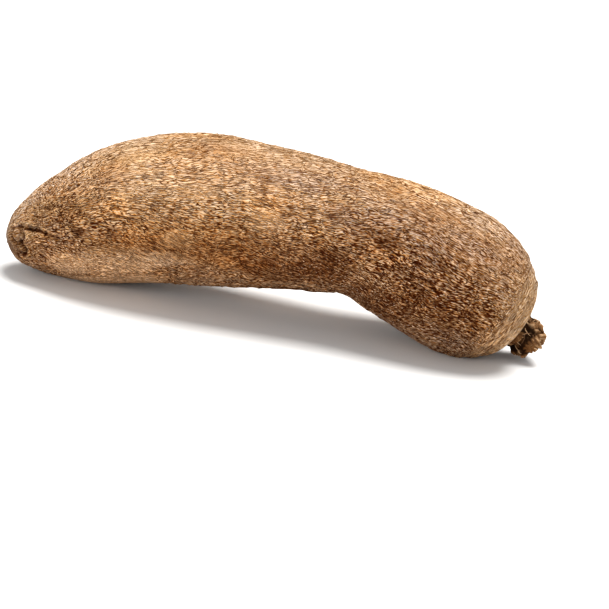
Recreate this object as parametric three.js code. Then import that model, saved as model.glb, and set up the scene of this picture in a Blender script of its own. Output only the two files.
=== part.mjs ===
import * as THREE from 'three';

// A whole cassava root lying on a level surface: a swollen, gently arched root with a puckered
// tail at -X and the stub of its woody neck at +X. It grew as one piece, so it is one mesh.
// Millimetres, +Z up. The origin is under the middle of its box, on the surface it lies on.
//
// The skin is a lathe profile carried along a curved centre line. A place on it is given by
// `skin`, the distance along the profile from the tail, and `angle`, round the centre line:
// 0 degrees is the upper side, 90 the -Y side and 180 the underside.

// ---- Form -----------------------------------------------------------------------------------

// Centre line, from the tail to a little beyond the neck.
const CENTRE_LINE = [
  [-158, -15, 17],
  [-125, -3, 29.3],
  [-80, 5, 47],
  [-25, 8, 52.5],
  [30, 10, 50],
  [75, 12, 34],
  [111, 17, 14.8],
  [133.5, 27, -5],
];

// Lathe profile: distance along the centre line, and radius there.
const TAIL_PROFILE = [[0, 0], [0.8, 4.6], [2.8, 8.6], [6.5, 12.5], [13, 17.5], [26, 25]];
const BODY_PROFILE = [[44, 32], [71, 36.5], [103, 38], [138, 35.5], [173, 32.5], [206, 35], [235, 37]];
const SHOULDER_PROFILE = [[257, 33], [269.5, 24.5], [274, 17], [273, 11.5]];
const NECK_PROFILE = [[277.5, 9.8], [282, 9.2], [287, 9.8], [290.5, 9.4], [292.2, 7.6], [292.6, 0]];

// How deep the root settles, and how softly the flats it rests on round into the skin.
const SETTLE = 2.8;
const FLAT_EDGE = 0.5;

// ---- Relief ---------------------------------------------------------------------------------

// Share of the radius that the section is wider than tall, three-sided, and five-sided.
const OVAL = 0.045;
const THREE_SIDED = 0.014;
const FIVE_SIDED = 0.008;
const RING_SWELL = 0.008;

// The soft fold on the inside of the bend.
const BEND_FOLD = { along: 182, length: 10, angle: 165, spread: 52, depth: 2.2 };

// Lengthwise wrinkles: how many lie side by side round the root, their height, and how they weave
// into one another, in radians of their wave over this length.
const WRINKLES = { count: 23, height: 1.9, weave: 4.2, length: 24 };
const SWELLS = { count: 9, length: 42, height: 0.9 };

// The scar where the tail broke off: a round button in a ring crease, beside the tail's tip.
const SCAR = { skin: 13.5, angle: 63, radius: 3.4, height: 1.4, creaseWidth: 0.9, creaseDepth: 1 };

// Creases and ridges beside the scar and a pit under it. Ends are [skin, angle].
const TAIL_CREASES = [
  { from: [18, 50], to: [21, 61], width: 1.1, height: -1.6 },
  { from: [21, 61], to: [29, 74], width: 1.1, height: -1.6 },
  { from: [29, 74], to: [37, 86], width: 1, height: -1.1 },
  { from: [14, 80], to: [16.5, 100], width: 1, height: -1.2 },
  { from: [16.5, 100], to: [13.5, 118], width: 1, height: -1.2 },
];
const SPOTS = [
  { skin: 6.5, angle: 140, radius: 6, height: -1.6 },
  { skin: 9, angle: 340, radius: 6, height: -0.7 },
  { skin: 12.4, angle: 117, radius: 2.4, height: -1.9 },
  { skin: 20, angle: 76, radius: 2.4, height: 0.9 },
  { skin: 50, angle: 80, radius: 2.2, height: -1 },
  { skin: 69.5, angle: 86, radius: 2.2, height: -0.9 },
  { skin: 150, angle: 112, radius: 2.6, height: -0.9 },
  { skin: 209, angle: 35, radius: 2.6, height: -0.9 },
  { skin: 284.5, angle: 9, radius: 2, height: 1.4 },
  { skin: 318, angle: 25, radius: 3, height: 1.2 },
];

// Folds that ring the shoulder round the neck, strongest at this angle.
const COLLAR = { from: 264, to: 298, pitch: 8, height: 0.7, angle: 70 };

// The neck: torn bundles of wood fibre along it, and a broken end.
const NECK = { start: 303, bundles: 11, length: 7, height: 2.2, endHeight: 2.6 };

// ---- Mesh -----------------------------------------------------------------------------------

const SIDES = 88;
// Rings of vertices along the skin: up to each distance, this many.
const RING_STRETCHES = [
  { upTo: 24, rings: 11 },
  { upTo: 260, rings: 32 },
  { upTo: 300, rings: 11 },
  { upTo: 326, rings: 13 },
];
const COLOUR = 0xa87b52;

const radians = THREE.MathUtils.degToRad;
const { lerp, smoothstep } = THREE.MathUtils;
const bell = (x) => Math.exp(-x * x);

/** Smallest turn from one angle to another, in radians, with its sign. */
function turn(from, to) {
  return THREE.MathUtils.euclideanModulo(to - from + Math.PI, 2 * Math.PI) - Math.PI;
}

/** A number from 0 to 1 that is fixed for each pair of whole numbers. */
function hash(i, j) {
  const s = Math.sin(i * 12.9898 + j * 78.233) * 43758.5453;
  return s - Math.floor(s);
}

/** Smooth noise from -1 to 1 on a grid of cells that closes on itself round the root. */
function ringNoise(along, angle, count) {
  const v = (angle / (2 * Math.PI)) * count;
  const i = Math.floor(along);
  const j = Math.floor(v);
  const fade = (t) => t * t * (3 - 2 * t);
  const corner = (di, dj) => 2 * hash(i + di, THREE.MathUtils.euclideanModulo(j + dj, count)) - 1;
  const near = lerp(corner(0, 0), corner(1, 0), fade(along - i));
  const far = lerp(corner(0, 1), corner(1, 1), fade(along - i));
  return lerp(near, far, fade(v - j));
}

/** Radius of the section, oval and a little lumpy. */
function sectionRadius(along, angle, radius) {
  const shape = 1
    + OVAL * Math.sin(angle) ** 2
    + THREE_SIDED * Math.cos(3 * angle + along / 38 + 0.6)
    + FIVE_SIDED * Math.cos(5 * angle - along / 27 + 2)
    + RING_SWELL * Math.sin(along / 9.5 + 1.1 * Math.cos(angle + 0.5)) * Math.sin(along / 31);
  const fold = bell((along - BEND_FOLD.along) / BEND_FOLD.length)
    * bell(turn(radians(BEND_FOLD.angle), angle) / radians(BEND_FOLD.spread));
  return radius * shape - Math.min(1, radius / 20) * BEND_FOLD.depth * fold;
}

/** Height of the wrinkles: rounded ridges with cracks between, weaving, and fading here and there. */
function wrinkleHeight(skin, angle) {
  const weave = WRINKLES.weave * ringNoise(skin / WRINKLES.length, angle, 9);
  const ridges = Math.abs(Math.cos((WRINKLES.count * angle + weave) / 2)) - 0.64;
  const strength = 0.7 + 0.5 * ringNoise(skin / 17 + 40, angle, 14);
  const swells = ringNoise(skin / SWELLS.length + 7, angle, SWELLS.count);
  return WRINKLES.height * strength * ridges + SWELLS.height * swells;
}

/** Height of a crease or ridge between two places, at a place where the section has this radius. */
function creaseHeight(crease, skin, angle, radius) {
  const across = (place) => radius * turn(radians(crease.from[1]), place);
  const end = [crease.to[0] - crease.from[0], across(radians(crease.to[1]))];
  const here = [skin - crease.from[0], across(angle)];
  const share = (here[0] * end[0] + here[1] * end[1]) / (end[0] ** 2 + end[1] ** 2);
  const nearest = THREE.MathUtils.clamp(share, 0, 1);
  const distance = Math.hypot(here[0] - nearest * end[0], here[1] - nearest * end[1]);
  return crease.height * bell(distance / crease.width);
}

/** Height of the scar: a domed button, the crease round it and a low lip outside. */
function scarHeight(distance) {
  const button = SCAR.height * (1 - smoothstep(distance, SCAR.radius * 0.5, SCAR.radius));
  const crease = SCAR.creaseDepth * bell((distance - SCAR.radius - SCAR.creaseWidth) / SCAR.creaseWidth);
  const lip = 0.5 * SCAR.height * bell((distance - SCAR.radius - 3 * SCAR.creaseWidth) / SCAR.creaseWidth);
  return button - crease + lip;
}

/** Height of the folds that ring the neck end of the swollen root. */
function collarHeight(skin, angle) {
  const wander = 1.5 * Math.sin(angle + 0.8) + 0.8 * Math.sin(2 * angle + 2);
  const share = 0.35 + 0.65 * bell(turn(radians(COLLAR.angle), angle) / 1.1);
  return COLLAR.height * share * Math.sin((2 * Math.PI * skin) / COLLAR.pitch + wander);
}

/** Height of the torn wood on the neck; `tip` is the distance along the skin to its middle. */
function neckHeight(skin, angle, tip) {
  const bundles = Math.abs(ringNoise(skin / NECK.length, angle, NECK.bundles)) - 0.35;
  const knots = 0.5 * ringNoise(skin / 3.5, angle, 7);
  const broken = ringNoise(tip / 4 + 31, angle, 7) * bell((tip - 6) / 5) * smoothstep(tip, 0, 4);
  return NECK.height * (bundles + knots) * smoothstep(tip, 2, 9) + NECK.endHeight * broken;
}

/** Height of everything on the skin at one place; `toScar` is how far off the scar's middle is. */
function reliefHeight(skin, angle, radius, toScar) {
  const onNeck = smoothstep(skin, NECK.start - 3, NECK.start + 3);
  const wrinkled = smoothstep(skin, 8, 40) * (1 - smoothstep(skin, COLLAR.from - 5, COLLAR.to));
  const collar = smoothstep(skin, COLLAR.from, COLLAR.from + 14) * (1 - onNeck);
  let height = wrinkled * wrinkleHeight(skin, angle) + collar * collarHeight(skin, angle);
  height += onNeck * neckHeight(skin, angle, skinLength - skin);
  for (const crease of TAIL_CREASES) height += creaseHeight(crease, skin, angle, radius);
  for (const spot of SPOTS) {
    const across = radius * turn(radians(spot.angle), angle);
    height += spot.height * bell(Math.hypot(skin - spot.skin, across) / spot.radius);
  }
  return height + scarHeight(toScar);
}

const centreLine = new THREE.CatmullRomCurve3(
  CENTRE_LINE.map((point) => new THREE.Vector3(...point)), false, 'catmullrom', 0.5,
);
const centreLength = centreLine.getLength();

const profile = new THREE.SplineCurve(
  [...TAIL_PROFILE, ...BODY_PROFILE, ...SHOULDER_PROFILE, ...NECK_PROFILE]
    .map((point) => new THREE.Vector2(...point)),
);
profile.arcLengthDivisions = 2000;
const skinLength = profile.getLength();

/** The plain section at a distance along the skin: its place, its axes and its outward lean. */
function sectionAt(skin) {
  const share = THREE.MathUtils.clamp(skin / skinLength, 0, 1);
  const { x: along, y: radius } = profile.getPointAt(share);
  const slope = profile.getTangentAt(share);
  const where = THREE.MathUtils.clamp(along, 0, centreLength) / centreLength;
  const forward = centreLine.getTangentAt(where);
  const up = new THREE.Vector3().crossVectors(forward, new THREE.Vector3(0, 1, 0)).normalize();
  const side = new THREE.Vector3().crossVectors(forward, up);
  return { along, radius, slope, centre: centreLine.getPointAt(where), forward, up, side };
}

/** A point of the section, raised by a height along the skin's outward direction. */
function pointOn(section, angle, height) {
  const radius = sectionRadius(section.along, angle, section.radius) + height * section.slope.x;
  return section.centre.clone()
    .addScaledVector(section.forward, -height * section.slope.y)
    .addScaledVector(section.up, radius * Math.cos(angle))
    .addScaledVector(section.side, radius * Math.sin(angle));
}

/** Lowers the root by SETTLE and turns what would sink below the surface into a flat. */
function settle(point) {
  const z = point.z - SETTLE;
  if (z >= FLAT_EDGE) point.z = z;
  else if (z <= -FLAT_EDGE) point.z = 0;
  else point.z = (z + FLAT_EDGE) ** 2 / (4 * FLAT_EDGE);
  return point;
}

const scarMiddle = pointOn(sectionAt(SCAR.skin), radians(SCAR.angle), 0);

/** The finished skin at one place. */
function skinPoint(skin, angle) {
  const section = sectionAt(skin);
  const toScar = pointOn(section, angle, 0).distanceTo(scarMiddle);
  return settle(pointOn(section, angle, reliefHeight(skin, angle, section.radius, toScar)));
}

/** Distances along the skin at which a ring of vertices lies. */
function ringPlaces() {
  const places = [];
  let start = 0;
  for (const { upTo, rings } of RING_STRETCHES) {
    for (let k = 1; k <= rings; k += 1) places.push(lerp(start, upTo, k / rings));
    start = upTo;
  }
  return places;
}

/** Closed mesh of the root: rings of vertices, with a single vertex at the tail and neck ends. */
function rootGeometry() {
  const rings = ringPlaces();
  const points = [];
  for (const skin of rings) {
    for (let j = 0; j < SIDES; j += 1) points.push(skinPoint(skin, (2 * Math.PI * j) / SIDES));
  }
  const tail = points.push(skinPoint(0, 0)) - 1;
  const neck = points.push(skinPoint(skinLength, 0)) - 1;
  const at = (ring, side) => ring * SIDES + (side % SIDES);
  const last = rings.length - 1;
  const index = [];
  for (let j = 0; j < SIDES; j += 1) {
    index.push(tail, at(0, j + 1), at(0, j));
    for (let i = 0; i < last; i += 1) {
      index.push(at(i, j), at(i, j + 1), at(i + 1, j + 1));
      index.push(at(i, j), at(i + 1, j + 1), at(i + 1, j));
    }
    index.push(neck, at(last, j), at(last, j + 1));
  }
  const geometry = new THREE.BufferGeometry().setFromPoints(points);
  geometry.setIndex(index);
  geometry.computeBoundingBox();
  const middle = geometry.boundingBox.getCenter(new THREE.Vector3());
  geometry.translate(-middle.x, -middle.y, 0);
  geometry.computeVertexNormals();
  return geometry;
}

const root = new THREE.Mesh(
  rootGeometry(),
  new THREE.MeshStandardMaterial({ color: COLOUR, roughness: 0.85, metalness: 0 }),
);
root.name = 'cassava_root';

const group = new THREE.Group();
group.add(root);

export default group;
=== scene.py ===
"""A whole cassava root with wrinkled corky skin, lying on a plain pale floor.

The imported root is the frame. One fine mesh takes its place: it has the same form, from the same
named sizes, and adds the fine wrinkles, cracks, puckers and torn wood. A place on the skin is given
by `skin`, the distance in millimetres along the lathe profile from the tail, and `angle`, round the
centre line: 0 is the upper side, a quarter turn the -Y side and a half turn the underside. Lengths
are millimetres until a mesh is made, where they become metres.
"""
from __future__ import annotations

import logging
import math
import random
from dataclasses import dataclass, field
from enum import Enum
from typing import Any, Sequence

import bpy
import numpy as np
from mathutils import Matrix, Vector


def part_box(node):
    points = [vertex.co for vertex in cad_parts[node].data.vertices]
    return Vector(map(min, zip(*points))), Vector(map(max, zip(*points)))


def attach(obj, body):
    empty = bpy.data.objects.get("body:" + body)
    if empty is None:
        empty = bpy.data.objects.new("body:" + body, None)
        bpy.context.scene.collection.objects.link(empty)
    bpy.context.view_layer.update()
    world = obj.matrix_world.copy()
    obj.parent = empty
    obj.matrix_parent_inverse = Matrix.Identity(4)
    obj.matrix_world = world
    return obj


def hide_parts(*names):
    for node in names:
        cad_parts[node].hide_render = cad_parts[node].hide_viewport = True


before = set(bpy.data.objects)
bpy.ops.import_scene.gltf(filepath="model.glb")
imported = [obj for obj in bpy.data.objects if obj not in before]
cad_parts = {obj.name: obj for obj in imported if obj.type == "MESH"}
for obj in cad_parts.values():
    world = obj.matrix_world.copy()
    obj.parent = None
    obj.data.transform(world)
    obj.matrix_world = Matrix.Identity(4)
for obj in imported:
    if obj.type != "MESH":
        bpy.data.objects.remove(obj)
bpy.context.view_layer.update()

LOG = logging.getLogger("cassava")
MM = 0.001
TURN = 2 * math.pi
Array = np.ndarray
Triple = tuple[float, float, float]
Paint = tuple[int, int, int]
Pair = tuple[float, float]


# ---- Small sums ------------------------------------------------------------------------------

def bell(x: Array) -> Array:
    """A smooth bump that is 1 at 0 and fades to nothing by about 2."""
    return np.exp(-x * x)


def fade(x: Array, low: float, high: float) -> Array:
    """A smooth rise from 0 at low to 1 at high."""
    t = np.clip((x - low) / (high - low), 0, 1)
    return t * t * (3 - 2 * t)


def turn_between(start: float | Array, end: float | Array) -> Array:
    """Smallest turn from one angle to another, in radians, with its sign."""
    return np.mod(end - start + math.pi, TURN) - math.pi


def hash_pair(i: Array, j: Array) -> Array:
    """A number from 0 to 1 that is fixed for each pair of whole numbers."""
    s = np.sin(i * 12.9898 + j * 78.233) * 43758.5453
    return s - np.floor(s)


def ring_noise(along: Array, angle: Array, count: int) -> Array:
    """Smooth noise on cells that close on themselves round the root.

    Args:
        along: distance along the root, in cells.
        angle: angle round it, in radians.
        count: how many cells lie round it.

    Returns:
        Values from -1 to 1.
    """
    v = angle / TURN * count
    i, j = np.floor(along), np.floor(v)
    fu, fv = fade(along - i, 0, 1), fade(v - j, 0, 1)

    def corner(di: int, dj: int) -> Array:
        """The value at one corner of the cell."""
        return 2 * hash_pair(i + di, np.mod(j + dj, count)) - 1

    near = corner(0, 0) * (1 - fu) + corner(1, 0) * fu
    far = corner(0, 1) * (1 - fu) + corner(1, 1) * fu
    return near * (1 - fv) + far * fv


def ring_cells(along: Array, angle: Array, count: int, seed: int) -> tuple[Array, Array]:
    """Irregular cells, each round its own seed point, that close on themselves round the root.

    Args:
        along: distance along the root, in cells.
        angle: angle round it, in radians.
        count: how many cells lie round it.
        seed: a whole number that picks another layout.

    Returns:
        How far each place is inside its cell, 0 at the border, and a number from 0 to 1 per cell.
    """
    v = angle / TURN * count
    i, j = np.floor(along), np.floor(v)
    best = np.full(np.broadcast(i, j).shape, 9.0)
    second = best.copy()
    rank = np.zeros_like(best)
    for di in (-1, 0, 1):
        for dj in (-1, 0, 1):
            ci, cj = i + di + seed, np.mod(j + dj, count)
            du = i + di + 0.1 + 0.8 * hash_pair(ci, cj) - along
            dv = j + dj + 0.1 + 0.8 * hash_pair(ci + 57, cj + 131) - v
            away = np.hypot(du, dv)
            closer = away < best
            second = np.where(closer, best, np.minimum(second, away))
            rank = np.where(closer, hash_pair(ci + 11, cj + 29), rank)
            best = np.where(closer, away, best)
    return second - best, rank


def catmull_rom(points: Sequence[Sequence[float]], open_ends: bool, steps: int = 80) -> Array:
    """A smooth line through points.

    Args:
        points: the points, in order.
        open_ends: True to run the ends on straight, False to hold them.
        steps: how many samples lie between two points.

    Returns:
        The samples, one row each.
    """
    p = np.array(points, float)
    first, last = (2 * p[0] - p[1], 2 * p[-1] - p[-2]) if open_ends else (p[0], p[-1])
    p = np.vstack([first, p, last])
    t = np.linspace(0, 1, steps, endpoint=False)[:, None]
    rows = []
    for a, b, c, d in zip(p, p[1:], p[2:], p[3:]):
        start, end = (c - a) / 2, (d - b) / 2
        rows.append((2 * b - 2 * c + start + end) * t**3 + (-3 * b + 3 * c - 2 * start - end) * t**2
                    + start * t + b)
    return np.vstack([*rows, p[-2]])


def run_length(line: Array) -> Array:
    """Distance along a line of samples from its start to each of them."""
    return np.concatenate([[0], np.cumsum(np.linalg.norm(np.diff(line, axis=0), axis=1))])


def unit(rows: Array) -> Array:
    """Each row scaled to length 1."""
    return rows / np.linalg.norm(rows, axis=-1, keepdims=True)


def read_off(at: Array, places: Array, rows: Array) -> Array:
    """Columns of rows, read at other places by straight steps between them."""
    return np.stack([np.interp(at, places, rows[:, k]) for k in range(rows.shape[1])], -1)


# ---- The root's form -------------------------------------------------------------------------

@dataclass(frozen=True)
class Crease:
    """A groove, or with a positive height a ridge, from one [skin, degrees] place to another."""

    start: Pair
    end: Pair
    width: float
    height: float


@dataclass(frozen=True)
class Spot:
    """A round pit, or with a positive height a bump."""

    skin: float
    degrees: float
    radius: float
    height: float


@dataclass(frozen=True)
class Patch:
    """A soft oval area of the skin with a look of its own."""

    skin: float
    degrees: float
    half_length: float
    half_width: float


class Zone(Enum):
    """Looks that parts of the skin have, with the rows of a Patch for each: some are its own
    colours, and some are painted shadow, painted shade and painted light.
    """

    WORN = ((103, 100, 13, 6), (62, 108, 22, 7), (90, 118, 26, 7), (62, 152, 34, 15),
            (149, 79, 11, 7), (114, 64, 12, 5), (292, 60, 10, 26), (130, 20, 14, 7),
            (86, 30, 10, 6), (170, 200, 30, 16), (96, 262, 20, 10), (220, 300, 18, 9),
            (42, 117, 17, 8), (72, 124, 22, 8))
    MAUVE = ((212, 60, 32, 15), (186, 62, 13, 6), (160, 40, 36, 7), (244, 44, 18, 8),
             (150, 250, 30, 14), (60, 310, 18, 9), (320, 20, 7, 7), (258, 118, 16, 9))
    RUSTY = ((118, 104, 36, 15), (240, 104, 24, 12), (50, 60, 17, 11), (66, 100, 15, 6),
             (262, 90, 12, 12), (205, 230, 26, 12), (80, 215, 20, 9))
    # Painted shadow: darker, browner patches along the lower side and the bend, where shadow falls.
    DARK = ((156, 122, 26, 9), (182, 112, 20, 14), (216, 128, 30, 12), (207, 74, 8, 4),
            (50, 82, 5, 2.5), (174, 162, 36, 12), (236, 190, 24, 14))
    # Painted shade: broad patches made darker where less light falls, as on the right part and the
    # tail's top.
    DUSKY = ((44, 66, 9, 5), (206, 74, 24, 13), (236, 78, 34, 26), (252, 40, 16, 12),
             (183, 61, 9, 6), (120, 108, 30, 8), (82, 104, 22, 7), (166, 104, 20, 12),
             (140, 300, 30, 12), (200, 334, 26, 10), (228, 36, 18, 11), (75, 42, 10, 8),
             (267, 16, 15, 14), (124, 23, 14, 4))
    RIPPLED = ((46, 46, 26, 24), (238, 96, 30, 20), (120, 200, 40, 14))
    # Partly a faint ochre tint of the skin, partly painted shade that dims the upper side near the
    # tail.
    OCHRE = ((32, 42, 14, 7), (182, 48, 12, 5), (84, 40, 10, 5), (120, 330, 16, 9),
             (19, 104, 5, 4), (96, 84, 62, 26), (96, 200, 50, 30), (82, 24, 30, 14))
    # Painted light: paler patches where more light falls, as on the low side near the tail.
    PALE = ((62, 142, 46, 18), (212, 6, 26, 14), (26, 80, 8, 5), (38, 116, 14, 7),
            (83, 94, 16, 8), (73, 69, 12, 7), (146, 67, 12, 6), (138, 118, 16, 7),
            (209, 79, 14, 8), (173, 84, 10, 6), (190, 250, 24, 12), (90, 320, 20, 12),
            (320, 18, 6, 6), (112, 4, 16, 5), (193, 5, 9, 5))


@dataclass(frozen=True)
class Form:
    """Sizes of the root, and the sums that turn a place on its skin into a point.

    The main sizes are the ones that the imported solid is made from. A lean is how many degrees
    the grain is off the root's length: all round it, and how many more at `lean_degrees`. A rise
    is where along the skin something fades in, and a stretch is where it fades in and out.
    """

    centre_line: tuple[Triple, ...] = (
        (-158, -15, 17), (-125, -3, 29.3), (-80, 5, 47), (-25, 8, 52.5),
        (30, 10, 50), (75, 12, 34), (111, 17, 14.8), (133.5, 27, -5))
    profile: tuple[Pair, ...] = (
        (0, 0), (0.8, 4.6), (2.8, 8.6), (6.5, 12.5), (13, 17.5), (26, 25),
        (44, 32), (71, 36.5), (103, 38), (138, 35.5), (173, 32.5), (206, 35), (235, 37),
        (257, 33), (269.5, 24.5), (274, 17), (273, 11.5),
        (277.5, 9.8), (282, 9.2), (287, 9.8), (290.5, 9.4), (292.2, 7.6), (292.6, 0))
    settle: float = 2.8
    flat_edge: float = 0.5

    oval: float = 0.045
    three_sided: float = 0.014
    five_sided: float = 0.008
    ring_swell: float = 0.008
    fold_along: float = 182
    fold_length: float = 10
    fold_degrees: float = 165
    fold_spread: float = 52
    fold_depth: float = 2.2

    wrinkle_count: int = 23
    wrinkle_height: float = 0.45
    weave: float = 4.2
    weave_length: float = 24
    swell_count: int = 9
    swell_length: float = 42
    swell_height: float = 0.8

    scar: Spot = Spot(13.5, 63, 3.4, 1.4)
    scar_crease: float = 0.9
    scar_depth: float = 1.0
    scar_ring_pitch: float = 1.7
    scar_ring_height: float = 0.22
    scar_calm: Pair = (3, 11)
    tail_creases: tuple[Crease, ...] = (
        Crease((18, 50), (21, 61), 1.1, -1.6), Crease((21, 61), (29, 74), 1.1, -1.6),
        Crease((29, 74), (37, 86), 1.0, -1.1), Crease((14, 80), (16.5, 100), 1.0, -1.2),
        Crease((16.5, 100), (13.5, 118), 1.0, -1.2))
    spots: tuple[Spot, ...] = (
        Spot(6.5, 140, 6, -1.6), Spot(9, 340, 6, -0.7),
        Spot(12.4, 117, 2.4, -1.9), Spot(20, 76, 2.4, 0.9), Spot(50, 80, 2.2, -1.0),
        Spot(69.5, 86, 2.2, -0.9), Spot(150, 112, 2.6, -0.9), Spot(209, 35, 2.6, -0.9),
        Spot(284.5, 9, 2.0, 1.4), Spot(318, 25, 3.0, 1.2))

    fine_creases: tuple[Crease, ...] = (
        Crease((11.6, 38), (15.6, 48), 0.5, -1.0), Crease((19.6, 63), (22.9, 68), 0.6, -1.3),
        Crease((22.9, 68), (26.5, 73), 0.6, -1.3), Crease((26.5, 73), (28.9, 78), 0.55, -1.1),
        Crease((28.9, 78), (36.3, 86), 0.5, -1.0), Crease((13.8, 80), (16, 98), 0.6, -1.3),
        Crease((16, 98), (16.4, 108), 0.6, -1.3), Crease((16.4, 108), (13.1, 126), 0.6, -1.3),
        Crease((10.3, 88), (10.6, 106), 0.35, -0.5), Crease((12.2, 86), (13, 104), 0.35, -0.6),
        Crease((18.9, 50), (24, 62), 0.9, 0.8), Crease((24, 62), (30.1, 73), 0.9, 0.7),
        Crease((24, 44), (31, 56), 0.8, -0.5), Crease((27, 36), (36, 50), 0.9, -0.5),
        Crease((33, 58), (40, 70), 0.8, -0.5), Crease((38, 48), (46, 60), 0.8, -0.5),
        Crease((17.6, 48), (17.5, 60), 0.7, 0.7), Crease((17.5, 60), (15.8, 72), 0.7, 0.6),
        Crease((44.5, 79), (48.5, 84), 0.7, -0.9), Crease((48.5, 84), (51.5, 91), 0.7, -0.9))
    fine_spots: tuple[Spot, ...] = (
        Spot(15.4, 49, 1.0, -0.9), Spot(10.2, 146, 1.8, -1.6), Spot(13.4, 120, 1.4, -1.2),
        Spot(20.4, 76, 1.8, 0.8), Spot(34.6, 104, 0.8, 0.6), Spot(37, 108, 0.7, 0.6),
        Spot(33, 99, 0.7, 0.5), Spot(38.5, 101, 0.8, 0.5), Spot(26, 88, 0.9, 0.4),
        Spot(46.6, 86, 1.1, 0.6), Spot(53.5, 92, 1.1, 0.6), Spot(71, 80, 1.2, 0.6))

    collar_from: float = 264
    collar_to: float = 298
    collar_pitch: float = 8
    collar_height: float = 0.7
    collar_degrees: float = 70

    neck_start: float = 303
    neck_bundles: int = 11
    neck_bundle_length: float = 7
    neck_height: float = 2.2
    neck_end_height: float = 2.6
    lump_count: int = 15
    lump_length: float = 3.6
    lump_height: float = 1.8
    chip_count: int = 34
    chips_per_lump: float = 2.1
    chip_height: float = 0.7

    fine_count: int = 104
    fine_length: float = 7.0
    fine_height: float = 0.44
    mid_count: int = 48
    mid_length: float = 14
    mid_height: float = 0.25
    crumb_count: int = 130
    crumb_length: float = 3.4
    crumb_height: float = 0.6
    lip: float = 0.3
    stretch: float = 24
    ring_ridge_pitch: float = 1.75
    ring_ridge_height: float = 0.42
    coarse_rise: Pair = (6, 34)
    fine_rise: Pair = (2, 16)
    worn_calm: float = 0.75
    collar_calm: float = 0.8
    rippled_gain: float = 1.2

    lean_degrees: float = 115
    lean_spread: float = 38
    tail_lean: Pair = (4, 28)
    waist_lean: Pair = (-12, -8)
    shoulder_lean: Pair = (-4, -18)
    tail_stretch: tuple[Pair, Pair] = ((15, 40), (200, 232))
    waist_rise: Pair = (85, 125)
    shoulder_stretch: tuple[Pair, Pair] = ((210, 240), (255, 270))
    thin: float = 14

    def __post_init__(self) -> None:
        """Samples the two lines once, for every sum that reads them."""
        centre = catmull_rom(self.centre_line, open_ends=True)
        profile = catmull_rom(self.profile, open_ends=False)

        def hold(name: str, value: Any) -> None:
            """Keeps a worked-out value, which a frozen class allows only this way."""
            object.__setattr__(self, name, value)

        hold("_centre", centre)
        hold("_centre_run", run_length(centre))
        hold("_forward", unit(np.gradient(centre, axis=0)))
        hold("_profile", profile)
        hold("_skin_run", run_length(profile))
        hold("_slope", unit(np.gradient(profile, axis=0)))
        hold("skin_length", float(self._skin_run[-1]))
        hold("scar_middle", self.plain_point(np.array([[self.scar.skin]]),
                                              np.radians([[self.scar.degrees]]), 0.0)[0, 0])

    def radius_at(self, skin: Array) -> Array:
        """Radius of the lathe profile."""
        return np.interp(skin, self._skin_run, self._profile[:, 1])

    def section_radius(self, along: Array, angle: Array, radius: Array) -> Array:
        """Radius of the section, oval and a little lumpy.

        Args:
            along: distances along the centre line.
            angle: angles round it.
            radius: the lathe profile's radius there.

        Returns:
            The radii, in millimetres.
        """
        shape = (1 + self.oval * np.sin(angle) ** 2
                 + self.three_sided * np.cos(3 * angle + along / 38 + 0.6)
                 + self.five_sided * np.cos(5 * angle - along / 27 + 2)
                 + self.ring_swell * np.sin(along / 9.5 + 1.1 * np.cos(angle + 0.5))
                 * np.sin(along / 31))
        fold = (bell((along - self.fold_along) / self.fold_length)
                * bell(turn_between(math.radians(self.fold_degrees), angle)
                       / math.radians(self.fold_spread)))
        return radius * shape - np.minimum(1, radius / 20) * self.fold_depth * fold

    def plain_point(self, skin: Array, angle: Array, height: Array | float) -> Array:
        """Points of the skin without relief, raised by a height along its outward direction.

        Args:
            skin: distances along the profile, one for each row.
            angle: angles round the centre line, one for each column.
            height: how far each point is raised.

        Returns:
            Points in millimetres, rows by columns by three.
        """
        flat = skin[:, 0]
        along = np.interp(flat, self._skin_run, self._profile[:, 0])
        slope = unit(read_off(flat, self._skin_run, self._slope))
        centre = read_off(along, self._centre_run, self._centre)
        forward = unit(read_off(along, self._centre_run, self._forward))
        up = unit(np.cross(forward, (0, 1, 0)))
        side = np.cross(forward, up)
        radius = self.section_radius(along[:, None], angle, self.radius_at(skin))
        radius = (radius + height * slope[:, :1])[..., None]
        lean = (-height * slope[:, 1:])[..., None] if np.ndim(height) else 0
        return (centre[:, None] + lean * forward[:, None]
                + radius * np.cos(angle)[..., None] * up[:, None]
                + radius * np.sin(angle)[..., None] * side[:, None])

    def lean(self, skin: Array, angle: Array) -> Array:
        """How far the grain drifts round the root for each millimetre along it.

        Args:
            skin: distances along the profile.
            angle: angles round the centre line.

        Returns:
            The drift, as a slope.
        """
        front = bell(turn_between(math.radians(self.lean_degrees), angle)
                     / math.radians(self.lean_spread))
        tail, waist, shoulder = (even + more * front for even, more in (
            self.tail_lean, self.waist_lean, self.shoulder_lean))
        body, end = (fade(skin, *rise) * (1 - fade(skin, *fall)) for rise, fall in (
            self.tail_stretch, self.shoulder_stretch))
        degrees = body * (tail + fade(skin, *self.waist_rise) * waist) + end * shoulder
        return np.tan(np.radians(degrees))

    def leant(self, skin: Array, angle: Array, start: float) -> tuple[Array, Array]:
        """Turns angles so that the grain leans within stretches of the root.

        Args:
            skin: distances along the profile.
            angle: angles round the centre line.
            start: where the first stretch begins, as a share of one.

        Returns:
            The turned angles, and a weight that is 1 in a stretch's middle and 0 at its ends.
        """
        middle = (np.floor(skin / self.stretch + start) - start + 0.5) * self.stretch
        away = skin - middle
        radius = np.maximum(self.radius_at(skin), self.thin)
        turned = angle - self.lean(skin, angle) * away / radius
        return turned, fade(1 - 2 * np.abs(away) / self.stretch, 0, 1)

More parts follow.
